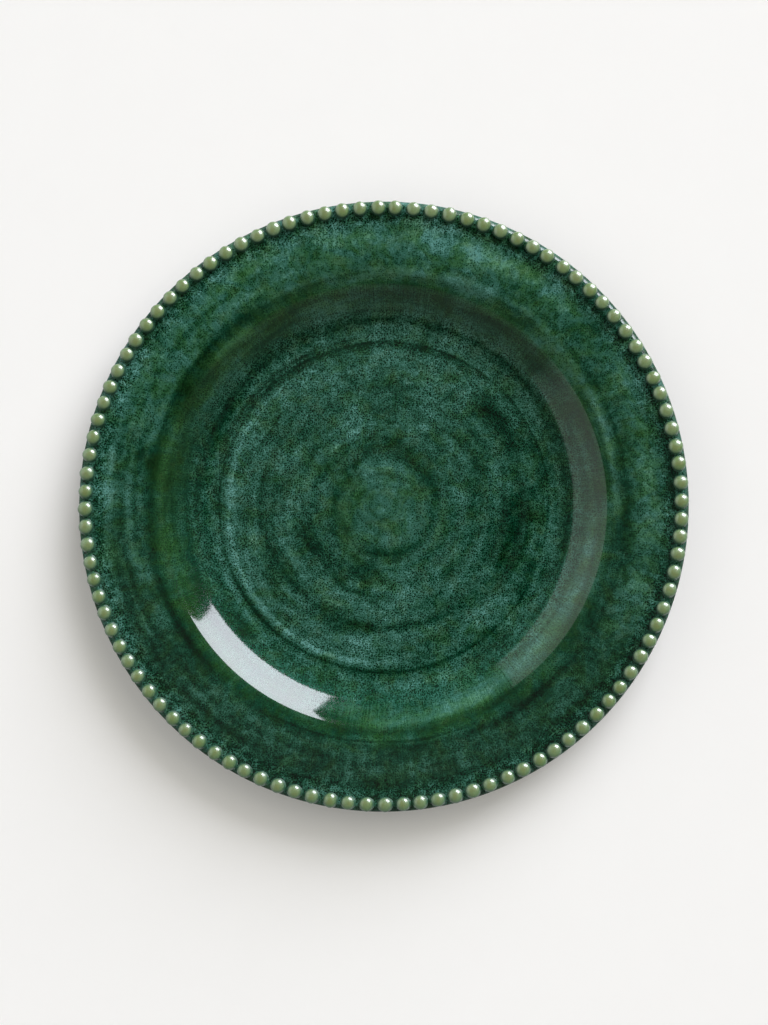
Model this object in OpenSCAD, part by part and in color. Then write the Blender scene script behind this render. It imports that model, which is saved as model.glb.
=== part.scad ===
// Stoneware dinner plate with a beaded rim, face up, turned about the z axis and standing on z = 0.
// The clay blank carries a foot ring, a row of beads on its rim and three coats of glaze.

/* [Plate] */
// Diameter over the beads
plate_d = 270; // [220:1:320]
// Thickness of the clay wall
wall = 5.3; // [4:0.1:7]
// Width of the rim along its slope, from the shoulder to the middle of the rounded edge
rim_w = 31.7; // [20:0.1:45]
// Upward slope of the rim, in degrees
rim_angle = 10.5; // [3:0.5:20]

/* [Cavetto] */
// Radius of the curve that leads up from the well floor
cavetto_r = 30; // [15:0.5:40]
// Slope at the top of that curve, in degrees
cavetto_angle = 40; // [28:1:55]
// Length of the straight slope between the curve and the shoulder
cavetto_straight = 0.5; // [0.2:0.1:6]
// Radius of the shoulder's underside, the tightest bend in the clay
shoulder_r = 2.7; // [1.5:0.1:8]

/* [Foot ring] */
// Height of the foot ring below the underside of the well
foot_h = 3.2; // [2:0.1:8]
// Width of the foot ring
foot_w = 6; // [4:0.1:10]
// Distance from the edge of the well floor in to the outside of the foot ring
foot_inset = 3; // [2.2:0.1:15]
// Depth that the foot ring is let into the clay
foot_seat = 0.8; // [0.4:0.1:2]
// Bevel on the two standing edges of the foot ring
foot_bevel = 0.8; // [0.2:0.1:1.8]

/* [Beads] */
// Diameter of one bead
bead_d = 6.2; // [4:0.1:9]
// Space between neighbouring beads
bead_space = 1.8; // [0.8:0.1:4]
// How far the beads stand out past the edge of the rim
bead_overhang = 0.7; // [0.2:0.1:1.5]
// Height of a bead's centre above the coat of glaze on the rim
bead_rise = 0.6; // [0:0.1:2]

/* [Glaze] */
// Thickness of a coat of glaze
glaze_t = 0.4; // [0.2:0.05:0.8]
// Bare clay left between the foot ring and the glaze
bare_line = 1; // [0.4:0.1:2]

/* [Joints] */
// Slip gap under a bead and around the foot ring
slip_gap = 0.05; // [0.02:0.01:0.15]

/* [Hidden] */
$fa = 4;
$fs = 0.4;

// Straight steps along the curves of the profile
cavetto_steps = 14;
shoulder_steps = 10;
edge_steps = 6;

// The profile lies in the plane of radius and height. Every surface is offset from the bare face of the
// clay, so the curves of all coats share three centres: cavetto, shoulder and edge.
well_z = foot_h + wall;
shoulder_face_r = shoulder_r + wall;
edge_r = plate_d / 2 - bead_overhang - wall / 2;
rim_start_r = edge_r - rim_w * cos(rim_angle);
shoulder_c_r = rim_start_r + (shoulder_face_r - wall / 2) * sin(rim_angle);
wall_run = (cavetto_r + shoulder_face_r) * sin(cavetto_angle) + cavetto_straight * cos(cavetto_angle);
wall_rise = cavetto_r - (cavetto_r + shoulder_face_r) * cos(cavetto_angle)
    + cavetto_straight * sin(cavetto_angle);
well_r = shoulder_c_r - wall_run;
cavetto_c = [well_r, well_z + cavetto_r];
shoulder_c = [shoulder_c_r, well_z + wall_rise];
edge_c = [
    edge_r,
    shoulder_c[1] + (shoulder_face_r - wall / 2) * cos(rim_angle) + rim_w * sin(rim_angle)
];

// Foot ring, set under the edge of the well floor
foot_r = well_r - foot_inset;
foot_inner_r = foot_r - foot_w;

// Bead row, standing on the glazed rim where it is rounded or, further in, still straight
bead_row_r = plate_d / 2 - bead_d / 2;
bead_count = round(360 / (2 * asin((bead_d + bead_space) / 2 / bead_row_r)));
coat_edge_r = wall / 2 + glaze_t;
edge_top = edge_c + coat_edge_r * [-sin(rim_angle), cos(rim_angle)];
coat_z = bead_row_r > edge_top[0]
    ? edge_c[1] + sqrt(pow(coat_edge_r, 2) - pow(bead_row_r - edge_c[0], 2))
    : edge_top[1] - (edge_top[0] - bead_row_r) * tan(rim_angle);
bead_z = coat_z + bead_rise;

function arc(centre, radius, from, to, steps) = [
    for (i = [0 : steps])
        let (a = from + (to - from) * i / steps)
            centre + radius * [cos(a), sin(a)]
];

function reversed(points) = [for (i = [len(points) - 1 : -1 : 0]) points[i]];

// The face from the axis to the middle of the edge, raised by a coat's thickness
function face_line(coat) = concat(
    [[0, well_z + coat]],
    arc(cavetto_c, cavetto_r - coat, 270, 270 + cavetto_angle, cavetto_steps),
    arc(shoulder_c, shoulder_face_r + coat, 90 + cavetto_angle, 90 + rim_angle, shoulder_steps),
    arc(edge_c, wall / 2 + coat, 90 + rim_angle, 0, edge_steps)
);

// The underside from a start radius to the middle of the edge, lowered by a coat's thickness
function back_line(start_r, coat) = concat(
    [[start_r, foot_h - coat]],
    arc(cavetto_c, cavetto_r + wall + coat, 270, 270 + cavetto_angle, cavetto_steps),
    arc(shoulder_c, shoulder_r - coat, 90 + cavetto_angle, 90 + rim_angle, shoulder_steps),
    arc(edge_c, wall / 2 + coat, rim_angle - 90, 0, edge_steps)
);

module plate_body() {
    // Face and underside meet in one point, the middle of the edge, so the underside leaves it out
    underside = reversed(back_line(0, 0));
    below_edge = [for (i = [1 : len(underside) - 1]) underside[i]];
    color("tan")
        rotate_extrude()
            difference() {
                polygon(concat(face_line(0), below_edge));
                translate([foot_inner_r - slip_gap, 0])
                    square([foot_w + 2 * slip_gap, foot_h + foot_seat]);
            }
}

module foot_ring() {
    top = foot_h + foot_seat;
    color("burlywood")
        rotate_extrude()
            polygon([
                [foot_inner_r + foot_bevel, 0],
                [foot_r - foot_bevel, 0],
                [foot_r, foot_bevel],
                [foot_r, top],
                [foot_inner_r, top],
                [foot_inner_r, foot_bevel]
            ]);
}

// A row of balls, cut off where they would sink into the glaze, so that each bead fits the rounded rim
module rim_beads() {
    seat = glaze_t + slip_gap;
    color("darkseagreen")
        difference() {
            for (i = [0 : bead_count - 1])
                rotate(i * 360 / bead_count)
                    translate([bead_row_r, 0, bead_z])
                        sphere(d = bead_d);
            rotate_extrude()
                polygon(concat(face_line(seat), [[edge_r + wall / 2 + seat, 0], [0, 0]]));
        }
}

module face_glaze() {
    color("darkgreen")
        rotate_extrude()
            polygon(concat(face_line(glaze_t), reversed(face_line(0))));
}

module back_glaze() {
    start_r = foot_r + bare_line;
    color("darkslategray")
        rotate_extrude()
            polygon(concat(back_line(start_r, glaze_t), reversed(back_line(start_r, 0))));
}

module base_glaze() {
    color("darkslategray")
        translate([0, 0, foot_h - glaze_t])
            cylinder(r = foot_inner_r - bare_line, h = glaze_t);
}

plate_body();
foot_ring();
rim_beads();
face_glaze();
back_glaze();
base_glaze();
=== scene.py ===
# A stoneware dinner plate with a beaded rim and a running green glaze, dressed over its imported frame.
import math

import bpy
from mathutils import Matrix, Vector


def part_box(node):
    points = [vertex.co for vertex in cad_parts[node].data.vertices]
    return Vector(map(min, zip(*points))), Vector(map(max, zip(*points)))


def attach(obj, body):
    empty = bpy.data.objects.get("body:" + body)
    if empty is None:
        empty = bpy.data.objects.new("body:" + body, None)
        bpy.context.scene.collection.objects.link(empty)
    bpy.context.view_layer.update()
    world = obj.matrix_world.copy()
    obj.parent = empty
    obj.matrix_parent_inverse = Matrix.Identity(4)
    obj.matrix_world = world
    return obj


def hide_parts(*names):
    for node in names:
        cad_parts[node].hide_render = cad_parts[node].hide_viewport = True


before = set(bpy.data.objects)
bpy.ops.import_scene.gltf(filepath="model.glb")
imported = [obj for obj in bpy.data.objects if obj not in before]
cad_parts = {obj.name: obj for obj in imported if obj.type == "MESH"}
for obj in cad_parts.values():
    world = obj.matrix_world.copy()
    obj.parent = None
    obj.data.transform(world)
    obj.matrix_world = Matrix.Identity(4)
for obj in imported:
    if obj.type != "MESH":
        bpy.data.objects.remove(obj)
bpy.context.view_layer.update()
scene = bpy.context.scene
mm = 0.001
print("frame: loaded", len(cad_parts), "nodes")


# Helpers that shader trees and geometry trees share
def addNode(tree, kind, **settings):
    node = tree.nodes.new(kind)
    for name, value in settings.items():
        setattr(node, name, value)
    return node


def feed(tree, socket, value):
    if isinstance(value, bpy.types.NodeSocket):
        tree.links.new(value, socket)
    elif value is not None:
        socket.default_value = value


def plug(tree, node, values):
    for name, value in values.items():
        feed(tree, node.inputs[name], value)
    return node


def maths(tree, operation, first, second=None, third=None):
    node = addNode(tree, "ShaderNodeMath", operation=operation)
    for socket, value in zip(node.inputs, (first, second, third)):
        feed(tree, socket, value)
    return node.outputs[0]


def times(tree, first, second):
    return maths(tree, "MULTIPLY", first, second)


def vectorMaths(tree, operation, first, second=None, scale=None):
    node = addNode(tree, "ShaderNodeVectorMath", operation=operation)
    feed(tree, node.inputs[0], first)
    if operation == "SCALE":
        feed(tree, node.inputs["Scale"], scale)
    elif second is not None:
        feed(tree, node.inputs[1], second)
    return node.outputs["Value" if operation in ("LENGTH", "DOT_PRODUCT") else "Vector"]


def facing(tree, way, degrees):
    return vectorMaths(tree, "DOT_PRODUCT", way, heading(degrees))


def remap(tree, value, low, high, toLow=0.0, toHigh=1.0, smooth=True):
    kind = "SMOOTHSTEP" if smooth else "LINEAR"
    node = addNode(tree, "ShaderNodeMapRange", interpolation_type=kind, clamp=True)
    plug(tree, node, {"Value": value, "From Min": low, "From Max": high,
                      "To Min": toLow, "To Max": toHigh})
    return node.outputs["Result"]


def combine(tree, x, y, z):
    node = addNode(tree, "ShaderNodeCombineXYZ")
    for socket, value in zip(node.inputs, (x, y, z)):
        feed(tree, socket, value)
    return node.outputs["Vector"]


def split(tree, vector):
    node = addNode(tree, "ShaderNodeSeparateXYZ")
    feed(tree, node.inputs["Vector"], vector)
    return node.outputs


def makeGroup(name, kind, inputs, outputs):
    group = bpy.data.node_groups.new(name, kind)
    for socketName, sort, default in inputs:
        socket = group.interface.new_socket(socketName, in_out="INPUT", socket_type="NodeSocket" + sort)
        if default is not None:
            socket.default_value = default
    for socketName, sort in outputs:
        group.interface.new_socket(socketName, in_out="OUTPUT", socket_type="NodeSocket" + sort)
    start = group.nodes.new("NodeGroupInput")
    end = group.nodes.new("NodeGroupOutput")
    return group, start.outputs, end.inputs


def place(tree, group, **values):
    return plug(tree, addNode(tree, "ShaderNodeGroup", node_tree=group), values).outputs


def noise(tree, vector, scale=1.0, detail=2.0, roughness=0.5, distortion=0.0):
    node = addNode(tree, "ShaderNodeTexNoise", noise_dimensions="3D")
    plug(tree, node, {"Vector": vector, "Scale": scale, "Detail": detail, "Roughness": roughness,
                      "Distortion": distortion})
    return node.outputs[0]


def centred(tree, value, contrast):
    return times(tree, maths(tree, "SUBTRACT", value, 0.5), contrast)


def addUp(tree, total, parts):
    for source, weight in parts:
        total = maths(tree, "MULTIPLY_ADD", source, weight, total)
    return total


def addShares(tree, total, shares, *groups):
    for name, share in shares.items():
        source = next(outputs[name] for outputs in groups if name in outputs)
        total = maths(tree, "MULTIPLY_ADD", source, share, total)
    return total


def mixColours(tree, factor, first, second, blend="MIX"):
    node = addNode(tree, "ShaderNodeMix", data_type="RGBA", blend_type=blend)
    feed(tree, node.inputs[0], factor)
    feed(tree, node.inputs[6], first)
    feed(tree, node.inputs[7], second)
    return node.outputs[2]


def ramp(tree, value, stops):
    node = addNode(tree, "ShaderNodeValToRGB")
    elements = node.color_ramp.elements
    while len(elements) < len(stops):
        elements.new(0.5)
    for element, (position, shade) in zip(elements, stops):
        element.position = position
        element.color = shade
    feed(tree, node.inputs["Fac"], value)
    return node.outputs["Color"]


def greys(stops, reach=1.0):
    return [(stop / reach, (value, value, value, 1.0)) for stop, value in stops]


def linear(channel):
    channel = channel / 255
    if channel <= 0.04045:
        return channel / 12.92
    return ((channel + 0.055) / 1.055) ** 2.4


def colour(red, green, blue):
    return (linear(red), linear(green), linear(blue), 1.0)


def heading(degrees):
    return (math.cos(math.radians(degrees)), math.sin(math.radians(degrees)), 0.0)


def aim(spot, side, back):
    return Matrix.Translation(spot) @ Matrix((side, back.cross(side), back)).transposed().to_4x4()


# Sizes read from the frame, in metres
bodyLow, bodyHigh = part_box("plate_body")
baseLow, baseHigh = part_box("base_glaze")
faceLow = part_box("face_glaze")[0]
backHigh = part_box("back_glaze")[1]
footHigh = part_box("foot_ring")[1]
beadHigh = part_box("rim_beads")[1]

plateForm = {
    "rimWidth": 31.7 * mm,  # along the slope
    "rimAngle": math.radians(10.5),
    "cavettoRadius": 30 * mm,
    "cavettoAngle": math.radians(40),
    "cavettoStraight": 0.5 * mm,
    "shoulderRadius": 2.7 * mm,  # on the underside
    "footWidth": 6 * mm,
    "bareLine": 1 * mm,  # clay between foot ring and glaze
    "segments": 320,  # steps round the plate
    "faceSteps": (20, 8, 8),  # along the cavetto, the shoulder and the edge
    "backSteps": (14, 6, 8),
    "weld": 0.001 * mm,
}

footHeight = bodyLow.z
wellHeight = faceLow.z
wall = wellHeight - footHeight
coat = baseHigh.z - baseLow.z
rimAngle = plateForm["rimAngle"]
cavettoRadius = plateForm["cavettoRadius"]
cavettoAngle = plateForm["cavettoAngle"]
shoulderRadius = plateForm["shoulderRadius"]
shoulderFace = shoulderRadius + wall
edgeRadius = bodyHigh.x - wall / 2
rimStart = edgeRadius - plateForm["rimWidth"] * math.cos(rimAngle)
shoulderCentreRadius = rimStart + (shoulderFace - wall / 2) * math.sin(rimAngle)
wallRun = ((cavettoRadius + shoulderFace) * math.sin(cavettoAngle)
           + plateForm["cavettoStraight"] * math.cos(cavettoAngle))
wallRise = (cavettoRadius - (cavettoRadius + shoulderFace) * math.cos(cavettoAngle)
            + plateForm["cavettoStraight"] * math.sin(cavettoAngle))
wellRadius = shoulderCentreRadius - wallRun
cavettoCentre = (wellRadius, wellHeight + cavettoRadius)
shoulderCentre = (shoulderCentreRadius, wellHeight + wallRise)
edgeCentre = (edgeRadius, backHigh.z)
print("sizes: well radius %.2f mm, edge height %.2f mm" % (wellRadius / mm, edgeCentre[1] / mm))


# Profile curves in the plane of radius and height, angles in degrees
def arcPoints(centre, radius, start, end, steps):
    points = []
    for step in range(steps + 1):
        angle = math.radians(start + (end - start) * step / steps)
        points.append((centre[0] + radius * math.cos(angle), centre[1] + radius * math.sin(angle)))
    return points


def faceLine(offset, fine):
    wallTop = math.degrees(cavettoAngle)
    slope = math.degrees(rimAngle)
    steps = [count * fine for count in plateForm["faceSteps"]]
    return ([(0.0, wellHeight + offset)]
            + arcPoints(cavettoCentre, cavettoRadius - offset, 270, 270 + wallTop, steps[0])
            + arcPoints(shoulderCentre, shoulderFace + offset, 90 + wallTop, 90 + slope, steps[1])
            + arcPoints(edgeCentre, wall / 2 + offset, 90 + slope, 0, steps[2]))


def backLine(startRadius, offset, fine):
    wallTop = math.degrees(cavettoAngle)
    slope = math.degrees(rimAngle)
    steps = [count * fine for count in plateForm["backSteps"]]
    return ([(startRadius, footHeight - offset)]
            + arcPoints(cavettoCentre, cavettoRadius + wall + offset, 270, 270 + wallTop, steps[0])
            + arcPoints(shoulderCentre, shoulderRadius - offset, 90 + wallTop, 90 + slope, steps[1])
            + arcPoints(edgeCentre, wall / 2 + offset, slope - 90, 0, steps[2]))


def fillGaps(points, longest):
    filled = [points[0]]
    for before, after in zip(points, points[1:]):
        steps = max(1, math.ceil(math.dist(before, after) / longest))
        for step in range(1, steps + 1):
            share = step / steps
            filled.append((before[0] + (after[0] - before[0]) * share,
                           before[1] + (after[1] - before[1]) * share))
    return filled


# Geometry tree that turns a profile about the z axis, as on a wheel
def makeWheel():
    tree, given, result = makeGroup("turnOnWheel", "GeometryNodeTree", [
        ("Profile", "Geometry", None),
        ("Segments", "Int", 64),
        ("Groove depth", "Float", 0.0),
        ("Groove pitch", "Float", 0.01),
        ("Finish", "Material", None),
    ], [("Turned", "Geometry")])
    profile = given["Profile"]
    size = plug(tree, addNode(tree, "GeometryNodeAttributeDomainSize", component="MESH"),
                {"Geometry": profile})
    pointCount = size.outputs["Point Count"]
    grid = plug(tree, addNode(tree, "GeometryNodeMeshGrid"),
                {"Vertices X": maths(tree, "ADD", given["Segments"], 1), "Vertices Y": pointCount})
    index = addNode(tree, "GeometryNodeInputIndex").outputs[0]
    step = maths(tree, "FLOOR", maths(tree, "DIVIDE", index, pointCount))
    row = maths(tree, "MODULO", index, pointCount)

    def sample(kind, value):
        node = addNode(tree, "GeometryNodeSampleIndex", data_type=kind, domain="POINT")
        return plug(tree, node, {"Geometry": profile, "Value": value, "Index": row}).outputs["Value"]

    position = addNode(tree, "GeometryNodeInputPosition").outputs[0]
    spot = split(tree, sample("FLOAT_VECTOR", position))
    thrown = addNode(tree, "GeometryNodeInputNamedAttribute", data_type="FLOAT")
    thrown.inputs["Name"].default_value = "thrown"
    share = sample("FLOAT", thrown.outputs["Attribute"])
    angle = maths(tree, "DIVIDE", times(tree, step, math.tau), given["Segments"])
    # The potter's finger leaves one spiral groove, a turn for each pitch
    phase = maths(tree, "DIVIDE", times(tree, spot[0], math.tau), given["Groove pitch"])
    wave = maths(tree, "SINE", maths(tree, "SUBTRACT", phase, angle))
    lift = times(tree, wave, given["Groove depth"])
    turned = combine(tree, times(tree, spot[0], maths(tree, "COSINE", angle)),
                     times(tree, spot[0], maths(tree, "SINE", angle)),
                     maths(tree, "MULTIPLY_ADD", lift, share, spot[2]))
    move = plug(tree, addNode(tree, "GeometryNodeSetPosition"),
                {"Geometry": grid.outputs["Mesh"], "Position": turned})
    merge = plug(tree, addNode(tree, "GeometryNodeMergeByDistance"),
                 {"Geometry": move.outputs[0], "Distance": plateForm["weld"]})
    finishTree(tree, merge.outputs[0], given["Finish"], result["Turned"])
    return tree


def finishTree(tree, geometry, finish, result):
    for kind in ("SetShadeSmooth", "RealizeInstances", "SetMaterial"):
        node = addNode(tree, "GeometryNode" + kind)
        feed(tree, node.inputs["Geometry"], geometry)
        geometry = node.outputs[0]
    feed(tree, node.inputs["Material"], finish)
    feed(tree, result, geometry)


def runTree(host, tree, settings):
    modifier = host.modifiers.new(tree.name, "NODES")
    modifier.node_group = tree
    for item in tree.interface.items_tree:
        if item.in_out == "INPUT" and item.name in settings:
            modifier[item.identifier] = settings[item.name]
    graph = bpy.context.evaluated_depsgraph_get()
    mesh = bpy.data.meshes.new_from_object(host.evaluated_get(graph))
    mesh.name = host.name
    host.modifiers.clear()
    host.data = mesh


def settle(piece, node):
    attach(piece, "root")
    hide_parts(node)
    print("piece:", piece.name, len(piece.data.polygons), "faces")


wheelTree = makeWheel()


def turnPiece(name, points, finish, thrown=None, depth=0.0, pitch=0.01):
    mesh = bpy.data.meshes.new(name + "Profile")
    edges = [(first, first + 1) for first in range(len(points) - 1)]
    mesh.from_pydata([(radius, 0.0, height) for radius, height in points], edges, [])
    shares = mesh.attributes.new("thrown", "FLOAT", "POINT")
    for item, share in zip(shares.data, thrown or [0.0] * len(points)):
        item.value = share
    host = bpy.data.objects.new(name, mesh)
    scene.collection.objects.link(host)
    runTree(host, wheelTree, {
        "Segments": plateForm["segments"],
        "Groove depth": depth,
        "Groove pitch": pitch,
        "Finish": finish,
    })
    return host


# Shader groups that the glazes share
def makePolar():
    tree, _, result = makeGroup("plateCoordinates", "ShaderNodeTree", [], [
        ("Radius", "Float"), ("Around", "Vector"), ("Point", "Vector")])
    spot = addNode(tree, "ShaderNodeTexCoord").outputs["Object"]
    point = vectorMaths(tree, "SCALE", spot, scale=1 / mm)  # millimetres from here on
    flat = vectorMaths(tree, "MULTIPLY", point, (1.0, 1.0, 0.0))
    feed(tree, result["Radius"], vectorMaths(tree, "LENGTH", flat))
    feed(tree, result["Around"], vectorMaths(tree, "NORMALIZE", flat))
    feed(tree, result["Point"], point)
    return tree


def makeTurnedRing():
    tree, given, result = makeGroup("turnedRing", "ShaderNodeTree", [
        ("Radius", "Float", 0.0),
        ("Around", "Vector", None),
        ("Ring", "Float", 50.0),
        ("Width", "Float", 2.0),
        ("Heading", "Vector", None),
        ("Reach", "Float", -1.0),
        ("Fade", "Float", 0.45),
    ], [("Mask", "Float")])
    away = maths(tree, "ABSOLUTE", maths(tree, "SUBTRACT", given["Radius"], given["Ring"]))
    across = remap(tree, maths(tree, "DIVIDE", away, given["Width"]), 0.0, 1.0, 1.0, 0.0)
    toward = vectorMaths(tree, "DOT_PRODUCT", given["Around"], given["Heading"])
    along = remap(tree, maths(tree, "SUBTRACT", toward, given["Reach"]), 0.0, given["Fade"])
    feed(tree, result["Mask"], times(tree, across, along))
    return tree


def makeFlow():
    tree, given, result = makeGroup("glazeFlow", "ShaderNodeTree", [
        ("Radius", "Float", 0.0),
        ("Around", "Vector", None),
        ("Point", "Vector", None),
        ("Band pitch", "Float", 4.0),
        ("Run count", "Float", 190.0),
        ("Run length", "Float", 16.0),
        ("Cloud size", "Float", 15.0),
        ("Fleck size", "Float", 3.4),
        ("Tint size", "Float", 10.0),
    ], [(name, "Float") for name in ("Bands", "Runs", "Clouds", "Flecks", "Tints", "Stains")])
    contrast = 2.6

    def alongRings(spread, pitch):
        way = split(tree, vectorMaths(tree, "SCALE", given["Around"], scale=spread))
        return combine(tree, way[0], way[1], maths(tree, "DIVIDE", given["Radius"], pitch))

    def patches(size, detail, distortion, offset):
        spot = vectorMaths(tree, "SCALE", given["Point"], scale=maths(tree, "DIVIDE", 1.0, size))
        spot = vectorMaths(tree, "ADD", spot, (offset, 2 * offset, 3 * offset))
        return remap(tree, noise(tree, spot, 1.0, detail, 0.6, distortion), 0.32, 0.68, -0.5, 0.5)

    # Near the middle the bands close into full circles
    opening = times(tree, remap(tree, given["Radius"], 2.0, 30.0), 2.2)
    bands = noise(tree, alongRings(opening, given["Band pitch"]), detail=3.0, distortion=0.4)
    feed(tree, result["Bands"], centred(tree, bands, contrast))
    runs = noise(tree, alongRings(given["Run count"], given["Run length"]), detail=3.0, roughness=0.6,
                 distortion=0.2)
    feed(tree, result["Runs"], centred(tree, runs, contrast))
    feed(tree, result["Clouds"], patches(given["Cloud size"], 4.0, 0.4, 0.0))
    feed(tree, result["Flecks"], patches(given["Fleck size"], 2.0, 0.5, 7.0))
    feed(tree, result["Tints"], patches(given["Tint size"], 4.0, 0.6, 19.0))
    feed(tree, result["Stains"], patches(times(tree, given["Tint size"], 0.6), 3.0, 0.3, 31.0))
    return tree


def makeSpeckle():
    tree, given, result = makeGroup("glazeSpeckle", "ShaderNodeTree", [
        ("Point", "Vector", None),
        ("Pitch", "Float", 0.95),
        ("Dot", "Float", 0.46),
    ], [("Dots", "Float"), ("Grain", "Float")])
    finer = maths(tree, "DIVIDE", 1.0, given["Pitch"])
    scaled = vectorMaths(tree, "SCALE", given["Point"], scale=finer)
    cells = addNode(tree, "ShaderNodeTexVoronoi", voronoi_dimensions="2D", feature="F1")
    plug(tree, cells, {"Vector": scaled, "Scale": 1.0, "Randomness": 0.85})
    core = times(tree, given["Dot"], 0.3)  # the dark heart of a dot
    spot = remap(tree, cells.outputs["Distance"], core, given["Dot"], 1.0, 0.0)
    strength = remap(tree, split(tree, cells.outputs["Color"])[0], 0.05, 0.8, 0.45, 1.0)
    feed(tree, result["Dots"], times(tree, spot, strength))
    soft = centred(tree, noise(tree, scaled, 1.5, 2.0, 0.7), 1.6)
    veins = maths(tree, "SUBTRACT", noise(tree, scaled, 0.75, 1.0, 0.6, 0.5), 0.5)
    veins = remap(tree, maths(tree, "ABSOLUTE", veins), 0.0, 0.13, 0.13, -0.17)
    feed(tree, result["Grain"], maths(tree, "ADD", soft, veins))
    return tree


greenGlaze = {
    "teal": [(0.0, (0, 9, 3)), (0.25, (2, 40, 23)), (0.4, (12, 59, 40)), (0.5, (27, 72, 52)),
             (0.75, (60, 109, 94)), (1.0, (106, 160, 152))],
    "olive": [(0.0, (3, 9, 1)), (0.25, (8, 40, 12)), (0.5, (32, 72, 34)),
              (0.75, (62, 108, 64)), (1.0, (106, 156, 106))],
    "rust": [(0.0, (9, 8, 1)), (0.25, (26, 38, 8)), (0.5, (58, 70, 30)),
             (0.75, (86, 106, 62)), (1.0, (124, 152, 104))],
}


def makeGlazeColour():
    tree, given, result = makeGroup("glazeColour", "ShaderNodeTree", [
        ("Tone", "Float", 0.5),
        ("Olive", "Float", 0.0),
        ("Rust", "Float", 0.0),
    ], [("Color", "Color")])
    shades = []
    for name in ("teal", "olive", "rust"):
        stops = [(stop, colour(*shade)) for stop, shade in greenGlaze[name]]
        shades.append(ramp(tree, given["Tone"], stops))
    green = mixColours(tree, given["Olive"], shades[0], shades[1])
    feed(tree, result["Color"], mixColours(tree, given["Rust"], green, shades[2]))
    return tree


polarGroup = makePolar()
ringGroup = makeTurnedRing()
flowGroup = makeFlow()
speckleGroup = makeSpeckle()
colourGroup = makeGlazeColour()


def newMaterial(name):
    material = bpy.data.materials.new(name)
    material.use_nodes = True
    tree = material.node_tree
    tree.nodes.clear()
    shader = addNode(tree, "ShaderNodeBsdfPrincipled")
    output = addNode(tree, "ShaderNodeOutputMaterial")
    feed(tree, output.inputs["Surface"], shader.outputs[0])
    return material, tree, shader


def patterns(tree, flowSizes, speckSizes):
    polar = place(tree, polarGroup)
    flow = place(tree, flowGroup, **dict(polar.items()), **flowSizes)
    speckle = place(tree, speckleGroup, Point=polar["Point"], **speckSizes)
    return polar["Radius"], polar["Around"], flow, speckle


def gloss(tree, shader, look):
    plug(tree, shader, {"IOR": look["ior"], "Coat IOR": look["coatIor"], "Coat Weight": look["coat"],
                        "Coat Roughness": look["coatRoughness"]})


def relief(tree, shader, height, depth):
    bump = plug(tree, addNode(tree, "ShaderNodeBump"), {"Distance": depth, "Height": height})
    for name in ("Normal", "Coat Normal"):
        feed(tree, shader.inputs[name], bump.outputs["Normal"])


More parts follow.
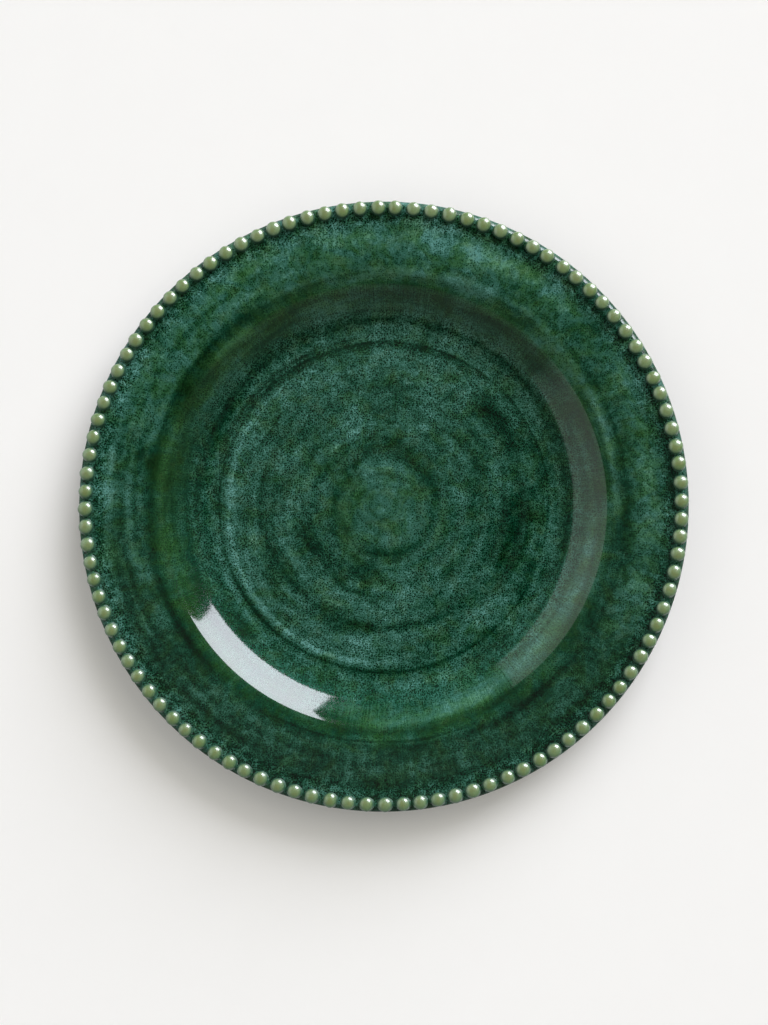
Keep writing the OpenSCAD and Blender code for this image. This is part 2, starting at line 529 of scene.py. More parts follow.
# Glaze of the face: tone 0 is a dark pool and tone 1 a pale, bluish crystal patch. A zone is a radius in
# mm and a value there. An arc is a radius and a half width in mm, a heading in degrees, its reach and its
# fade as cosines, and a change of tone.
faceLook = {
    "ior": 1.6,
    "coat": 1.0,
    "coatIor": 1.5,
    "coatRoughness": 0.05,
    "zones": [(0, 0.59), (10, 0.59), (18, 0.54), (22, 0.42), (29, 0.47), (40, 0.52), (53, 0.47),
              (58, 0.52), (70, 0.54), (73.5, 0.46), (77, 0.51), (80, 0.49), (84, 0.46), (97, 0.47),
              (103, 0.47), (106, 0.42), (110, 0.49), (122, 0.53), (125.5, 0.47), (127.2, 0.37),
              (129, 0.35), (130.8, 0.5), (135, 0.54)],
    "oliveZones": [(0, 0.2), (24, 0.3), (36, 0.05), (70, 0.02), (82, 0.02), (87, 0.12), (93, 0.4),
                   (98, 0.65), (102, 0.45), (105, 0.3), (110, 0.22), (116, 0.3), (121, 0.3),
                   (125, 0.08), (129, 0.08), (135, 0.25)],
    # Share of the speckle that shows: the glaze has run off the wall and left it smoother
    "speckleZones": [(0, 0.55), (20, 0.7), (35, 1.0), (76, 1.05), (86.5, 0.9), (89.5, 0.5),
                     (99, 0.36), (103, 0.45), (109, 0.56), (122, 0.64), (126, 1.25), (131, 1.2),
                     (135, 0.5)],
    # Share of the clear top gloss: the glaze thins out and dulls over the edge, sooner on its shaded side
    "glossZones": [(0, 1.0), (132.9, 1.0), (133.8, 0.05), (136, 0.0)],
    "dullEarly": 1.4,
    # How much purer the green is at the plate's head than at its foot; the greyer green on the wall and
    # shoulder at the head is a painted dim reflection of the room
    "veilPurityZones": [(0, 0.0), (68, 0.0), (74, -0.02), (79, -0.06), (85, -0.13), (90, -0.06),
                    (98, -0.05), (102.5, -0.1), (107, 0.0), (113, 0.03), (119, 0.06), (126, 0.0)],
    "arcs": {
        "allRound": [(104.4, 0.8, 268, 0.88, 0.1, -0.17), (73.7, 1.2, 260, -1.5, 0.45, -0.16),
                     (54.2, 3.2, 232, 0.2, 0.45, -0.16), (37, 7, 222, 0.5, 0.4, -0.19),
                     (23.5, 3.5, 340, -0.4, 0.45, -0.1), (120, 4.5, 215, 0.7, 0.25, -0.24),
                     (122.5, 4.5, 290, 0.6, 0.3, -0.14), (83.5, 3, 90, -0.3, 0.45, -0.1),
                     (64, 9, 10, 0.5, 0.45, -0.1), (69.8, 1.8, 195, 0.0, 0.45, 0.12),
                     # The next arc lightens the groove beside the beads on the plate's lower side: partly
                     # the glaze's teal speckle, partly painted light there, where the beads' shadows fall
                     # outward instead of onto it
                     (127.5, 2.5, 240, 0.5, 0.3, 0.1)],
        "left": [(104, 5, 172, 0.45, 0.4, -0.17), (110, 3, 176, 0.95, 0.04, -0.18),
                 (115.5, 2.5, 170, 0.5, 0.4, -0.14), (84, 11, 170, 0.4, 0.4, -0.09),
                 (106.5, 2.5, 150, 0.95, 0.04, 0.17), (83.5, 4.5, 196, 0.93, 0.06, 0.12),
                 (76.3, 2, 135, 0.75, 0.2, -0.16), (121, 4, 180, 0.96, 0.03, 0.16),
                 (119, 3, 165, 0.97, 0.025, -0.14), (60, 8, 150, 0.97, 0.025, -0.11),
                 (67, 6, 181, 0.97, 0.025, 0.13), (98, 6, 148, 0.98, 0.015, -0.18),
                 (98, 4, 135, 0.98, 0.015, 0.12)],
        "foot": [(94, 5.5, 281, 0.9, 0.08, 0.18), (80.5, 4.5, 281, 0.88, 0.1, 0.08),
                 (100.5, 3, 281, 0.85, 0.1, -0.08), (108, 3, 308, 0.94, 0.05, -0.18),
                 (105, 2, 277, 0.9, 0.08, 0.1), (96, 2.5, 283, 0.88, 0.1, 0.1),
                 (89, 4, 268, 0.97, 0.025, 0.1)],
        "head": [(105, 3, 95, 0.75, 0.2, 0.14), (120, 8, 95, 0.75, 0.2, 0.08),
                 (72.3, 3.5, 95, 0.65, 0.25, -0.14), (120, 8, 58, 0.95, 0.04, 0.2),
                 (106.5, 3, 58, 0.95, 0.04, 0.16), (116, 8, 78, 0.9, 0.08, 0.12),
                 (110, 4, 112, 0.93, 0.06, 0.13)],
        "right": [(103, 4, 12, 0.88, 0.1, 0.17), (118, 10, 0, 0.8, 0.15, 0.14),
                  (108, 1.6, 0, 0.8, 0.15, -0.08), (71, 3, 0, 0.8, 0.15, -0.14),
                  (81, 3, 0, 0.8, 0.15, -0.08), (93.5, 5, 340, 0.7, 0.25, 0.08),
                  (104.5, 4, 30, 0.93, 0.06, 0.13), (103, 3, 343, 0.97, 0.025, -0.1),
                  (64, 9, 36, 0.95, 0.04, -0.24), (58, 15, 348, 0.93, 0.06, -0.22),
                  (66, 7, 15, 0.985, 0.012, 0.16), (91.5, 7, 322, 0.75, 0.2, 0.15),
                  (92, 7, 296, 0.95, 0.04, 0.1)],
        "middle": [(36, 4, 128, 0.8, 0.18, 0.16), (46, 7, 232, 0.75, 0.2, 0.12),
                   (37, 4, 256, 0.95, 0.04, 0.24), (25, 4, 262, 0.93, 0.06, 0.16),
                   (33, 6, 220, 0.95, 0.04, -0.14), (41, 5, 330, 0.9, 0.09, -0.14),
                   (21, 3.2, 279, 0.88, 0.1, -0.16), (27, 6, 80, 0.8, 0.15, -0.13),
                   (43, 9, 5, 0.9, 0.08, -0.11), (14, 3, 82, 0.7, 0.25, -0.18),
                   (7, 3, 82, 0.5, 0.4, 0.12), (2, 3, 240, 0.3, 0.5, 0.18)],
        "besideGlint": [(71, 1.8, 232, 0.8, 0.15, 0.17), (78, 3, 232, 0.8, 0.15, 0.1),
                        (104.5, 3, 228, 0.75, 0.2, -0.11), (113.5, 4.5, 232, 0.75, 0.2, -0.13),
                        (124.5, 2.5, 232, 0.75, 0.2, -0.15)],
    },
    "wallBand": (82.0, 89.0, 97.0, 103.0),  # radii where the wall comes in and goes out
    "mossBand": (90.0, 95.0, 101.0, 106.0),
    "rimStart": (103.0, 107.0),
    "swim": 0.8,  # how far the bands shift zones and arcs, in mm
    "runSwim": 0.7,  # how far the runs shift the zones of tone
    "fringe": 1.6,  # and those of the speckle
    # Headings in degrees, then cosines to such a side and the shares there
    "sides": {"sunny": 115, "runs": 285, "mossWall": 165, "mossRim": 10, "veiledGreen": 75, "lit": 55},
    "runSide": (-0.3, 0.6, 0.75, 1.0),
    "mossSide": (0.4, 0.9),
    "shadedSide": (-0.2, 0.4, 1.0, 0.0),
    "bands": (0.18, 0.06),  # in the well, on the rim
    "clouds": (0.21, 0.19),
    "flecks": (0.135, 0.25),
    "wallRuns": 0.18,
    "rimRuns": 0.1,
    "calm": 0.36,  # share of the clouds and flecks that the smooth wall loses
    "sunny": 0.09,
    "grain": 0.46,
    "dotsByClouds": (-0.6, 0.6, 0.31, 0.54),
    "dotsByFlecks": (-0.5, 0.5, 1.35, 0.7),  # dots crowd where the flecks are dark
    "lift": 0.122,  # makes up for what the dark dots take
    "oliveTints": 0.9,
    "oliveShares": {"Clouds": -0.25, "Flecks": -0.2, "Dots": -0.25},
    "oliveSunny": 0.1,
    "oliveWall": 0.3,  # more olive on the wall's left
    "oliveRim": 0.08,  # and on the rim's right
    "rust": (0.05, 0.9, 0.0, 0.25),
    "dullRoughness": 0.86,
    "roughShares": {"Dots": 0.12, "Grain": 0.05},
    "shineRoughness": -0.79,
    "gritShares": {"Dots": -0.4, "Grain": 0.25},
    "gritDepth": 0.012 * mm,
}
zoneReach = 136.0  # radius in mm where the zones end


def zoneRamp(tree, radius, zones):
    return ramp(tree, maths(tree, "DIVIDE", radius, zoneReach), greys(zones, zoneReach))


def band(tree, radius, edges):
    begin, full, thin, end = edges
    return times(tree, remap(tree, radius, begin, full), remap(tree, radius, thin, end, 1.0, 0.0))


def makeFaceGlaze(look):
    material, tree, shader = newMaterial("faceGlaze")
    radius, around, flow, speckle = patterns(tree, {}, {})
    runs = flow["Runs"]
    wallMask = band(tree, radius, look["wallBand"])
    rimMask = remap(tree, radius, *look["rimStart"])
    calm = maths(tree, "MULTIPLY_ADD", wallMask, -look["calm"], 1.0)

    def toSide(name):
        return facing(tree, around, look["sides"][name])

    def wellToRim(pattern, name):
        return times(tree, flow[pattern], remap(tree, rimMask, 0.0, 1.0, *look[name]))

    # The surface swims a little, so that zones and arcs aren't drawn with compasses
    swim = maths(tree, "MULTIPLY_ADD", flow["Bands"], look["swim"], radius)
    tone = zoneRamp(tree, maths(tree, "MULTIPLY_ADD", runs, look["runSwim"], swim), look["zones"])
    for arcs in look["arcs"].values():
        for ring, width, degrees, reach, fade, change in arcs:
            mask = place(tree, ringGroup, Radius=swim, Around=around, Ring=ring, Width=width,
                         Heading=heading(degrees), Reach=reach, Fade=fade)["Mask"]
            tone = maths(tree, "MULTIPLY_ADD", mask, change, tone)
    sunny = times(tree, toSide("sunny"), rimMask)
    wallRuns = times(tree, wallMask, remap(tree, toSide("runs"), *look["runSide"]))
    moss = times(tree, remap(tree, toSide("mossWall"), *look["mossSide"]),
                 band(tree, radius, look["mossBand"]))
    mossRim = times(tree, toSide("mossRim"), rimMask)
    dotDepth = times(tree, remap(tree, flow["Clouds"], *look["dotsByClouds"]),
                     remap(tree, flow["Flecks"], *look["dotsByFlecks"]))
    fringe = maths(tree, "MULTIPLY_ADD", runs, look["fringe"], radius)
    speckleShare = zoneRamp(tree, fringe, look["speckleZones"])
    fine = addUp(tree, look["lift"], [
        (times(tree, wellToRim("Flecks", "flecks"), calm), 1.0),
        (speckle["Grain"], look["grain"]),
        (times(tree, speckle["Dots"], dotDepth), -1.0),
    ])
    tone = addUp(tree, tone, [
        (wellToRim("Bands", "bands"), 1.0),
        (times(tree, wellToRim("Clouds", "clouds"), calm), 1.0),
        (times(tree, runs, wallRuns), look["wallRuns"]),
        (times(tree, runs, rimMask), look["rimRuns"]),
        (times(tree, fine, speckleShare), 1.0),
        (sunny, look["sunny"]),
    ])
    olive = addShares(tree, zoneRamp(tree, swim, look["oliveZones"]), look["oliveShares"], flow, speckle)
    olive = addUp(tree, olive, [
        (times(tree, flow["Tints"], calm), look["oliveTints"]),
        (sunny, look["oliveSunny"]),
        (moss, look["oliveWall"]),
        (mossRim, look["oliveRim"]),
    ])
    olive = maths(tree, "MINIMUM", maths(tree, "MAXIMUM", olive, 0.0), 1.0)
    rust = remap(tree, flow["Stains"], *look["rust"])
    # A ramp holds no values below 0, so the lean is stored half a step up
    lean = zoneRamp(tree, swim, [(stop, 0.5 + value) for stop, value in look["veilPurityZones"]])
    # Painted reflection: the green is greyed at the head of the wall and shoulder, as a dim room's
    # reflection would veil it
    veilPurity = maths(tree, "MULTIPLY_ADD", maths(tree, "SUBTRACT", lean, 0.5), toSide("veiledGreen"), 1.0)
    green = place(tree, colourGroup, Tone=tone, Olive=olive, Rust=rust)["Color"]
    veiledGreen = plug(tree, addNode(tree, "ShaderNodeHueSaturation"), {"Saturation": veilPurity, "Color": green})
    shaded = remap(tree, toSide("lit"), *look["shadedSide"])
    shine = zoneRamp(tree, addUp(tree, radius, [(shaded, look["dullEarly"])]), look["glossZones"])
    rough = addShares(tree, look["dullRoughness"], look["roughShares"], speckle)
    rough = addUp(tree, rough, [(shine, look["shineRoughness"])])
    gloss(tree, shader, look)
    plug(tree, shader, {"Base Color": veiledGreen.outputs[0], "Roughness": rough, "Coat Weight": shine})
    grit = addShares(tree, 0.0, look["gritShares"], speckle)
    relief(tree, shader, times(tree, grit, times(tree, speckleShare, speckleShare)), look["gritDepth"])
    return material


faceGlaze = makeFaceGlaze(faceLook)
print("finish: face glaze made")

# Back of the plate: the same glaze, plainer, with the potter's turning lines
backLook = {
    "ior": 1.6,
    "coat": 1.0,
    "coatIor": 1.5,
    "coatRoughness": 0.05,
    "zones": [(0, 0.46), (30, 0.5), (60, 0.45), (78, 0.42), (95, 0.5), (104, 0.4), (118, 0.46),
              (128, 0.36), (131, 0.24), (135, 0.2)],
    "flowSizes": {"Band pitch": 3.0},
    "toneShares": {"Bands": 0.12, "Runs": 0.05, "Clouds": 0.1, "Flecks": 0.1, "Grain": 0.08,
                   "Dots": -0.15},
    "olive": 0.25,
    "oliveShares": {"Clouds": -0.35},
    "roughness": 0.14,
    "roughShares": {"Dots": 0.2},
    "gritShares": {"Dots": -0.4, "Bands": 0.5},
    "gritDepth": 0.02 * mm,
}


def makeBackGlaze(look):
    material, tree, shader = newMaterial("backGlaze")
    radius, _, flow, speckle = patterns(tree, look["flowSizes"], {})
    tone = zoneRamp(tree, radius, look["zones"])
    tone = addShares(tree, tone, look["toneShares"], flow, speckle)
    olive = maths(tree, "MAXIMUM", addShares(tree, look["olive"], look["oliveShares"], flow), 0.0)
    green = place(tree, colourGroup, Tone=tone, Olive=olive)["Color"]
    rough = addShares(tree, look["roughness"], look["roughShares"], speckle)
    gloss(tree, shader, look)
    plug(tree, shader, {"Base Color": green, "Roughness": rough})
    relief(tree, shader, addShares(tree, 0.0, look["gritShares"], flow, speckle), look["gritDepth"])
    return material


backGlaze = makeBackGlaze(backLook)
print("finish: back glaze made")

# Beads: pale glaze that has run off the crown and pooled dark round the foot of each bead
beadLook = {
    "ior": 2.05,
    "coat": 1.0,
    "coatIor": 2.0,
    "coatRoughness": 0.07,
    "pale": (131, 159, 105),
    "yellow": (115, 147, 76),
    "yellowing": (0.35, 1.0, 0.0, 0.75),
    "worn": (129, 141, 83),  # warm clay that shows through on top
    "wear": (0.82, 1.05, 0.0, 0.8),  # crown heights between which it begins, then its share
    "wearDrift": 0.5,
    "speck": (70, 96, 58),
    "speckShare": 0.22,
    "speckPitch": 0.9,
    "driftScale": 0.55,
    "pool": 0.68,  # tone of the pooled green
    "poolOlive": 0.4,
    "poolShares": {"Grain": 0.3},
    "poolLine": (0.3, 1.0),  # crown heights between which the green thins out
    "lineDrift": 0.18,
    "lineShares": {"Grain": 0.04},
    "litSide": 75,  # heading in degrees of the painted light: beads and bead sides facing it get a larger pale cap
    "paintedLightShift": (0.08, 0.14),  # painted light: how far the pale cap grows between beads, and between the sides of a bead
    "saddleGloss": (0.4, 0.75),
    "poolGloss": 0.14,  # share of the clear top gloss on the pooled green
    "roughness": 0.42,
    "roughShares": {"Dots": 0.1},
    "capRoughness": -0.1,
    "gritShares": {"Dots": -0.4, "Grain": 0.3},
    "gritDepth": 0.01 * mm,
}


def makeBeadGlaze(look):
    material, tree, shader = newMaterial("beadGlaze")
    polar = place(tree, polarGroup)
    speckle = place(tree, speckleGroup, Point=polar["Point"], Pitch=look["speckPitch"])
    drift = centred(tree, noise(tree, polar["Point"], look["driftScale"]), 1.0)
    slope = addNode(tree, "ShaderNodeTexCoord").outputs["Normal"]

    def stored(name):
        return addNode(tree, "ShaderNodeAttribute", attribute_name=name).outputs["Fac"]

    crown = stored("beadCrown")
    level = addShares(tree, addUp(tree, crown, [(drift, look["lineDrift"])]), look["lineShares"], speckle)
    # Painted light: beads on the plate's side towards the light, and each bead's side towards it, get a
    # paler, larger cap
    for way, shift in zip((polar["Around"], slope), look["paintedLightShift"]):
        level = addUp(tree, level, [(facing(tree, way, look["litSide"]), shift)])
    pool = remap(tree, level, *look["poolLine"])
    yellowing = remap(tree, addUp(tree, stored("beadShade"), [(drift, 1.0)]), *look["yellowing"])
    pale = mixColours(tree, yellowing, colour(*look["pale"]), colour(*look["yellow"]))
    wear = remap(tree, addUp(tree, crown, [(drift, look["wearDrift"])]), *look["wear"])
    pale = mixColours(tree, wear, pale, colour(*look["worn"]))
    specks = times(tree, speckle["Dots"], look["speckShare"])
    pale = mixColours(tree, specks, pale, colour(*look["speck"]))
    dark = place(tree, colourGroup, Tone=addShares(tree, look["pool"], look["poolShares"], speckle),
                 Olive=look["poolOlive"])["Color"]
    clear = maths(tree, "MAXIMUM", pool, remap(tree, stored("beadSaddle"), *look["saddleGloss"]))
    shine = remap(tree, clear, 0.0, 1.0, look["poolGloss"], look["coat"])
    rough = addShares(tree, look["roughness"], look["roughShares"], speckle)
    rough = addUp(tree, rough, [(clear, look["capRoughness"])])
    gloss(tree, shader, look)
    plug(tree, shader, {"Base Color": mixColours(tree, pool, dark, pale), "Roughness": rough,
                        "Coat Weight": shine})
    relief(tree, shader, addShares(tree, 0.0, look["gritShares"], speckle), look["gritDepth"])
    return material


beadGlaze = makeBeadGlaze(beadLook)
print("finish: bead glaze made")

# Bare stoneware: buff, gritty, with iron specks
clayLook = {
    "foot": (176, 148, 118),
    "body": (166, 140, 112),
    "darker": 0.72,
    "warm": 0.5,
    "warmShares": {"Clouds": 0.4, "Bands": 0.25},
    "speck": (74, 52, 38),
    "speckShare": 0.8,
    "flowSizes": {"Band pitch": 1.2, "Cloud size": 9.0, "Fleck size": 1.6},
    "speckSizes": {"Pitch": 2.4, "Dot": 0.28},
    "roughness": 0.78,
    "roughShares": {"Flecks": 0.08},
    "gritShares": {"Flecks": 0.5, "Bands": 0.4, "Grain": 0.3},
    "gritDepth": 0.05 * mm,
}


def makeClay(name, shade, look):
    material, tree, shader = newMaterial(name)
    _, _, flow, speckle = patterns(tree, look["flowSizes"], look["speckSizes"])
    warm = remap(tree, addShares(tree, look["warm"], look["warmShares"], flow), 0.0, 1.0)
    buff = colour(*shade)
    darker = tuple(part * look["darker"] for part in buff[:3]) + (1.0,)
    body = mixColours(tree, warm, darker, buff)
    specks = times(tree, speckle["Dots"], look["speckShare"])
    plug(tree, shader, {"Base Color": mixColours(tree, specks, body, colour(*look["speck"])),
                        "Roughness": addShares(tree, look["roughness"], look["roughShares"], flow)})
    relief(tree, shader, addShares(tree, 0.0, look["gritShares"], flow, speckle), look["gritDepth"])
    return material


bareFoot = makeClay("bareFoot", clayLook["foot"], clayLook)
clayBody = makeClay("clayBody", clayLook["body"], clayLook)
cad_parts["plate_body"].material_slots[0].material = clayBody
print("finish: bare clay made")

# Face coat, with a spiral of throwing grooves in the well and a shallow groove inside the beads
faceCoat = {
    "longestStep": 1.6 * mm,
    "throwDepth": 0.06 * mm,
    "throwPitch": 9 * mm,
    "throwReach": 0.93,  # share of the well's radius
    "throwFade": 0.1,  # share of that reach
    "grooveRadius": 127.5 * mm,
    "grooveWidth": 1.3 * mm,
    "grooveDepth": 0.3 * mm,
}


def facePoints(form):
    under = faceLine(0.0, 1)
    upper = []
    for radius, height in fillGaps(faceLine(coat, 2), form["longestStep"]):
        dip = math.exp(-(((radius - form["grooveRadius"]) / form["grooveWidth"]) ** 2))
        upper.append((radius, height - form["grooveDepth"] * dip))
    upper.reverse()
    reach = form["throwReach"] * wellRadius
    thrown = [0.0] * len(under)
    for radius, _ in upper:
        fade = min(1.0, max(0.0, (reach - radius) / (form["throwFade"] * reach)))
        thrown.append(fade * min(1.0, radius / form["throwPitch"]))
    return under + upper, thrown


points, thrown = facePoints(faceCoat)
facePiece = turnPiece("faceCoat", points, faceGlaze, thrown, faceCoat["throwDepth"],
                      faceCoat["throwPitch"])
settle(facePiece, "face_glaze")

# Coats on the back, with a rounded, melted edge beside the foot ring
backCoat = {"longestStep": 2.5 * mm, "edgeSteps": 6}
footOuter = footHigh.x
footInner = footOuter - plateForm["footWidth"]
backStart = footOuter + plateForm["bareLine"]
backEdge = arcPoints((backStart + coat, footHeight), coat, 180, 270, backCoat["edgeSteps"])
backUpper = backLine(backStart, 0.0, 1)
backUpper.reverse()
backUnder = fillGaps(backEdge + backLine(backStart + coat, coat, 2)[1:], backCoat["longestStep"])
backPiece = turnPiece("backCoat", backUnder + backUpper + backUnder[:1], backGlaze)
settle(backPiece, "back_glaze")

baseRadius = footInner - plateForm["bareLine"]
baseEdge = arcPoints((baseRadius - coat, footHeight), coat, 270, 360, backCoat["edgeSteps"])
baseUnder = fillGaps([(0.0, footHeight - coat)] + baseEdge, backCoat["longestStep"])
basePiece = turnPiece("baseCoat", baseUnder + [(0.0, footHeight)], backGlaze)
settle(basePiece, "base_glaze")

# Foot ring, turned with soft edges
footForm = {"edgeRadius": 0.9 * mm, "edgeSteps": 6}


def footPoints(form):
    soft = form["edgeRadius"]
    ring = arcPoints((footInner + soft, soft), soft, 180, 270, form["edgeSteps"])
    ring += arcPoints((footOuter - soft, soft), soft, 270, 360, form["edgeSteps"])
    ring += [(footOuter, footHigh.z), (footInner, footHigh.z)]
    return ring + ring[:1]


footPiece = turnPiece("footRing", footPoints(footForm), bareFoot)
settle(footPiece, "foot_ring")

# Beads: low domes with a skirt of pooled glaze, set round the rim with the unevenness of hand work
beadRow = {
    "Count": 104,
    "Steps round": 20,
    "Steps down": 16,
    "Radius": 3.15 * mm,
    "Dome": 0.5,  # height of a dome as a share of its radius
    "Breadth": 0.98,  # along the row, as a share of the radius
    "Turn": math.radians(0.6),
    "Unevenness": 0.05,  # share of the pitch and of the size
    "Skirt": 0.08,  # reach of the pooled glaze in and out, in radii
    "Saddle": 0.27,  # its reach towards the next bead, in radii
    "Sink": 0.15 * mm,  # depth of the skirt's edge below the coat
    "Seed": 7,
    "inset": 3.6 * mm,  # from the outline of the plate in to the middle of a bead
    "drop": 0.9 * mm,  # from the top of the frame's beads down to the top of a dome
}


def makeBeadTree():
    sizes = ("Radius", "Dome", "Breadth", "Row radius", "Row height", "Edge radius", "Edge reach",
             "Edge height", "Rim angle", "Turn", "Unevenness", "Skirt", "Saddle", "Sink")
    inputs = [("Host", "Geometry", None), ("Finish", "Material", None)]
    inputs += [(name, "Int", 0) for name in ("Count", "Steps round", "Steps down", "Seed")]
    inputs += [(name, "Float", 0.0) for name in sizes]
    tree, given, result = makeGroup("beadRow", "GeometryNodeTree", inputs,
                                    [("Beads", "Geometry")])
    skirtBand = (0.5, 0.8)  # from the top of the ball, where the skirt begins and ends
    saddleBand = (0.45, 0.9)  # how squarely a side faces in or out, where the saddle ends
    hiddenDepth = 0.3  # of the underside below the skirt's edge, in radii

    def draw(offset):
        node = addNode(tree, "FunctionNodeRandomValue", data_type="FLOAT")
        node.inputs[2].default_value = -1.0
        node.inputs[3].default_value = 1.0
        feed(tree, node.inputs["Seed"], maths(tree, "ADD", given["Seed"], offset))
        return node.outputs[1]

    def store(geometry, name, value):
        node = addNode(tree, "GeometryNodeStoreNamedAttribute", data_type="FLOAT", domain="POINT")
        return plug(tree, node, {"Geometry": geometry, "Name": name, "Value": value}).outputs[0]

    def rimHeight(reach):
        away = maths(tree, "SUBTRACT", reach, given["Edge reach"])
        sine = maths(tree, "SINE", given["Rim angle"])
        bend = times(tree, times(tree, given["Edge radius"], sine), -1.0)
        across = maths(tree, "POWER", maths(tree, "ABSOLUTE", maths(tree, "MAXIMUM", away, bend)), 2.0)
        square = maths(tree, "SUBTRACT", maths(tree, "POWER", given["Edge radius"], 2.0), across)
        bulge = maths(tree, "SQRT", maths(tree, "MAXIMUM", square, 0.0))
        slope = maths(tree, "TANGENT", given["Rim angle"])
        inside = maths(tree, "MINIMUM", maths(tree, "SUBTRACT", away, bend), 0.0)
        fall = times(tree, inside, slope)
        return addUp(tree, given["Edge height"], [(bulge, 1.0), (fall, 1.0)])

    # One bead of unit radius, with x pointing away from the plate's axis: the dome, then the hollow skirt
    # that runs out onto the rim, then the hidden underside
    ball = plug(tree, addNode(tree, "GeometryNodeMeshUVSphere"),
                {"Segments": given["Steps round"], "Rings": given["Steps down"], "Radius": 1.0})
    position = addNode(tree, "GeometryNodeInputPosition").outputs[0]
    spot = split(tree, position)
    flat = vectorMaths(tree, "MULTIPLY", position, (1.0, 1.0, 0.0))
    way = split(tree, vectorMaths(tree, "NORMALIZE", flat))
    share = maths(tree, "DIVIDE", maths(tree, "ARCCOSINE", spot[2]), math.pi)
    flare = remap(tree, share, *skirtBand, 0.0, math.pi / 2, smooth=False)
    closing = remap(tree, share, skirtBand[1], 1.0, smooth=False)
    domeOut = maths(tree, "MAXIMUM", vectorMaths(tree, "LENGTH", flat),
                    maths(tree, "GREATER_THAN", share, skirtBand[0]))
    hollow = maths(tree, "SUBTRACT", 1.0, maths(tree, "COSINE", flare))
    sideways = remap(tree, maths(tree, "ABSOLUTE", way[0]), *saddleBand, 1.0, 0.0)
    skirt = remap(tree, sideways, 0.0, 1.0, given["Skirt"], given["Saddle"], smooth=False)
    out = times(tree, maths(tree, "MULTIPLY_ADD", skirt, hollow, domeOut),
                maths(tree, "SUBTRACT", 1.0, closing))
    east = times(tree, way[0], out)
    footReach = times(tree, maths(tree, "ADD", skirt, 1.0), given["Radius"])
    footSpot = rimHeight(maths(tree, "MULTIPLY_ADD", way[0], footReach, given["Row radius"]))
    footDrop = maths(tree, "SUBTRACT", maths(tree, "SUBTRACT", footSpot, given["Sink"]),
                     given["Row height"])
    footDrop = maths(tree, "DIVIDE", footDrop, given["Radius"])
    height = addUp(tree, times(tree, maths(tree, "MAXIMUM", spot[2], 0.0), given["Dome"]), [
        (times(tree, footDrop, maths(tree, "SINE", flare)), 1.0),
        (times(tree, maths(tree, "ADD", footDrop, hiddenDepth), closing), -1.0)])
    bead = store(ball.outputs["Mesh"], "beadCrown", remap(tree, spot[2], -0.5, 1.0, smooth=False))
    bead = store(bead, "beadSaddle", times(tree, sideways, remap(tree, share, *skirtBand)))
    shape = plug(tree, addNode(tree, "GeometryNodeSetPosition"),
                 {"Geometry": bead, "Position": combine(tree, east, times(tree, way[1], out), height)})

    # The row
    index = addNode(tree, "GeometryNodeInputIndex").outputs[0]
    station = maths(tree, "ADD", index, times(tree, draw(1), given["Unevenness"]))
    pitch = maths(tree, "DIVIDE", math.tau, given["Count"])
    angle = maths(tree, "MULTIPLY_ADD", station, pitch, given["Turn"])
    spot = combine(tree, times(tree, given["Row radius"], maths(tree, "COSINE", angle)),
                   times(tree, given["Row radius"], maths(tree, "SINE", angle)), given["Row height"])
    row = plug(tree, addNode(tree, "GeometryNodePoints"), {"Count": given["Count"], "Position": spot})
    row = store(row.outputs[0], "beadShade", maths(tree, "MULTIPLY_ADD", draw(2), 0.5, 0.5))
    turn = plug(tree, addNode(tree, "FunctionNodeEulerToRotation"),
                {"Euler": combine(tree, 0.0, 0.0, angle)})
    plump = maths(tree, "MULTIPLY_ADD", draw(3), given["Unevenness"], 1.0)
    oval = maths(tree, "MULTIPLY_ADD", draw(4), given["Unevenness"], given["Breadth"])
    size = vectorMaths(tree, "SCALE", combine(tree, plump, oval, plump), scale=given["Radius"])
    stamp = plug(tree, addNode(tree, "GeometryNodeInstanceOnPoints"),
                 {"Points": row, "Instance": shape.outputs[0], "Rotation": turn.outputs[0],
                  "Scale": size})
    finishTree(tree, stamp.outputs[0], given["Finish"], result["Beads"])
    return tree


def makeBeads(form):
    host = bpy.data.objects.new("rimBeads", bpy.data.meshes.new("beadHost"))
    scene.collection.objects.link(host)
    settings = dict(form, Finish=beadGlaze)
    settings["Row radius"] = beadHigh.x - form["inset"]
    settings["Row height"] = beadHigh.z - form["drop"] - form["Dome"] * form["Radius"]
    settings["Edge radius"] = wall / 2 + coat
    settings["Edge reach"] = edgeCentre[0]
    settings["Edge height"] = edgeCentre[1]
    settings["Rim angle"] = rimAngle
    runTree(host, makeBeadTree(), settings)
    return host


beadPiece = makeBeads(beadRow)
settle(beadPiece, "rim_beads")

# Floor
floorLook = {
    "reach": 36.0,
    "drop": 0.1 * mm,  # below the foot ring
    "shade": (0.864, 0.848, 0.824, 1.0),
    "mottle": (0.2, 0.8, 0.992, 1.0),  # range of the noise, then of the shade
    "mottleScale": 40.0,
    "roughness": 0.9,
    "glow": 0.11,  # seen by the camera and in reflections only
    "glowTint": (1.0, 0.992, 0.975, 1.0),
}


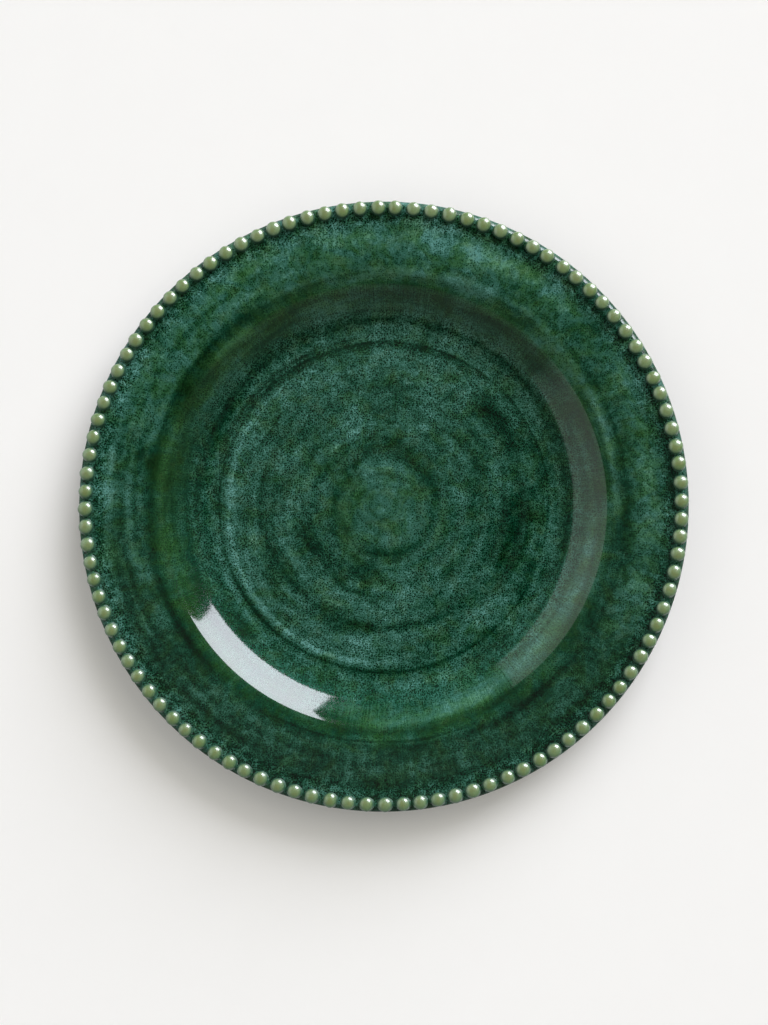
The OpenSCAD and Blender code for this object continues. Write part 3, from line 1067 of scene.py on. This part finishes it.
def makeFloor(look):
    material, tree, shader = newMaterial("paleFloor")
    spot = addNode(tree, "ShaderNodeTexCoord").outputs["Object"]
    soft = remap(tree, noise(tree, spot, look["mottleScale"], 3.0), *look["mottle"])
    grey = combine(tree, soft, soft, soft)
    feed(tree, shader.inputs["Base Color"], mixColours(tree, 1.0, look["shade"], grey, "MULTIPLY"))
    plug(tree, shader, {"Roughness": look["roughness"], "Specular IOR Level": 0.0,
                        "Emission Color": look["glowTint"]})
    rays = addNode(tree, "ShaderNodeLightPath").outputs
    seen = addUp(tree, rays["Is Camera Ray"], [(rays["Is Glossy Ray"], 1.0),
                                               (rays["Is Transmission Ray"], 1.0)])
    feed(tree, shader.inputs["Emission Strength"],
         times(tree, maths(tree, "MINIMUM", seen, 1.0), look["glow"]))
    reach = look["reach"]
    mesh = bpy.data.meshes.new("floor")
    corners = [(-reach, -reach), (reach, -reach), (reach, reach), (-reach, reach)]
    mesh.from_pydata([(x, y, -look["drop"]) for x, y in corners], [], [(0, 1, 2, 3)])
    mesh.materials.append(material)
    floor = bpy.data.objects.new("floor", mesh)
    scene.collection.objects.link(floor)


makeFloor(floorLook)
print("stage: floor laid")

# Studio light: an upright softbox, an upright dim reflector, two diffusers that give no glints, and a
# dark room. Distances are in metres, and a tilt of 90 degrees faces straight down.
lightPlan = {
    "panels": {
        "softbox": {"azimuth": 55.9, "out": 12.0, "up": 9.15, "tilt": 0, "width": 10.0, "height": 14.1,
                    "radiance": 6.15, "tint": (0.97, 1.0, 1.1), "glints": True,
                    "shift": 0.78, "slant": 0.15},
        "reflector": {"azimuth": 168.5, "out": 12.0, "up": 10.35, "tilt": 0, "width": 23.1,
                      "height": 20.7, "radiance": 0.39, "tint": (0.97, 1.0, 1.0), "glints": True,
                      "shift": 1.25, "fade": [(0.13, 1.0), (0.36, 1.2), (0.46, 0.98), (0.77, 0.66),
                                              (0.89, 0.45), (1.0, 0.05)]},
        "diffuser": {"azimuth": 38, "out": 5.55, "up": 7.08, "tilt": 52, "width": 6.6, "height": 6.6,
                     "radiance": 1.42, "tint": (1.0, 0.985, 0.92), "glints": False},
        "ceiling": {"azimuth": 0, "out": 0.0, "up": 10.5, "tilt": 90, "width": 24.0, "height": 24.0,
                    "radiance": 0.41, "tint": (1.0, 0.985, 0.9), "glints": False},
    },
    "roomZenith": 0.05,
    "roomHorizon": 0.06,
    "leanZenith": (80, 0.15),  # heading in degrees towards which the glow overhead grows, and how much
    "leanHorizon": (240, 0.06),
    "darkSpot": (0.065, -0.048, 1.0),  # the unlit camera overhead
    "darkReach": (0.07, 0.2),
    "darkCone": (0.74, 0.95),  # cosine from the zenith where the room's glow ends
}


def shapePanel(light, plan):
    light.use_nodes = True
    tree = light.node_tree
    tree.nodes.clear()
    across, up = split(tree, addNode(tree, "ShaderNodeNewGeometry").outputs["Parametric"])[:2]
    strength = 1.0
    if "fade" in plan:
        strength = ramp(tree, across, greys(plan["fade"]))
    if "slant" in plan:
        # One upright edge leans, so that the panel is narrower at its foot
        edge = maths(tree, "MULTIPLY_ADD", up, plan["slant"], 1.0 - plan["slant"])
        strength = times(tree, maths(tree, "LESS_THAN", across, edge), strength)
    emission = addNode(tree, "ShaderNodeEmission")
    feed(tree, emission.inputs["Strength"], strength)
    feed(tree, addNode(tree, "ShaderNodeOutputLight").inputs["Surface"], emission.outputs[0])


def makePanel(name, plan):
    azimuth = math.radians(plan["azimuth"])
    tilt = math.radians(plan["tilt"])
    side = Vector((-math.sin(azimuth), math.cos(azimuth), 0.0))
    outward = Vector((math.cos(azimuth), math.sin(azimuth), 0.0))
    back = outward * math.cos(tilt) + Vector((0.0, 0.0, math.sin(tilt)))
    light = bpy.data.lights.new(name, "AREA")
    light.shape = "RECTANGLE"
    light.size = plan["width"]
    light.size_y = plan["height"]
    light.energy = plan["radiance"] * math.pi * plan["width"] * plan["height"]
    light.color = plan["tint"]
    panel = bpy.data.objects.new(name, light)
    spot = outward * plan["out"] + Vector((0.0, 0.0, plan["up"])) + side * plan.get("shift", 0.0)
    if "slant" in plan or "fade" in plan:
        shapePanel(light, plan)
    panel.matrix_world = aim(spot, side, back)
    panel.visible_camera = False
    panel.visible_glossy = plan["glints"]
    scene.collection.objects.link(panel)


def makeRoom(plan):
    world = bpy.data.worlds.new("studio")
    world.use_nodes = True
    tree = world.node_tree
    tree.nodes.clear()
    sky = addNode(tree, "ShaderNodeTexCoord").outputs["Generated"]
    lowWay, lowGain = plan["leanHorizon"]
    lowLean = maths(tree, "MAXIMUM", facing(tree, sky, lowWay), 0.0)
    low = addUp(tree, plan["roomHorizon"], [(lowLean, lowGain)])
    highWay, highGain = plan["leanZenith"]
    highLean = facing(tree, sky, highWay)
    high = maths(tree, "MAXIMUM", addUp(tree, plan["roomZenith"], [(highLean, highGain)]), 0.0)
    away = vectorMaths(tree, "LENGTH", vectorMaths(tree, "SUBTRACT", sky, plan["darkSpot"]))
    high = times(tree, high, remap(tree, away, *plan["darkReach"]))
    glow = remap(tree, split(tree, sky)[2], *plan["darkCone"], low, high)
    background = addNode(tree, "ShaderNodeBackground")
    feed(tree, background.inputs["Strength"], glow)
    output = addNode(tree, "ShaderNodeOutputWorld")
    feed(tree, output.inputs["Surface"], background.outputs[0])
    scene.world = world


for panelName, panelPlan in lightPlan["panels"].items():
    makePanel(panelName, panelPlan)
makeRoom(lightPlan)
print("light:", len(lightPlan["panels"]), "panels and room set")

# Camera: nearly overhead, with the top of the picture towards +Y
cameraView = {
    "place": Vector((0.0697, -0.0514, 1.0847)),
    "target": Vector((0.0009, -0.0032, 0.018)),
    "lens": 85.0,
    "sensor": 36.0,
}


def makeCamera(view):
    data = bpy.data.cameras.new("camera")
    data.lens = view["lens"]
    data.sensor_width = view["sensor"]
    camera = bpy.data.objects.new("camera", data)
    back = (view["place"] - view["target"]).normalized()
    side = Vector((0.0, 1.0, 0.0)).cross(back).normalized()
    camera.matrix_world = aim(view["place"], side, back)
    scene.collection.objects.link(camera)
    scene.camera = camera


makeCamera(cameraView)
scene.view_settings.view_transform = "Standard"
print("camera: set")
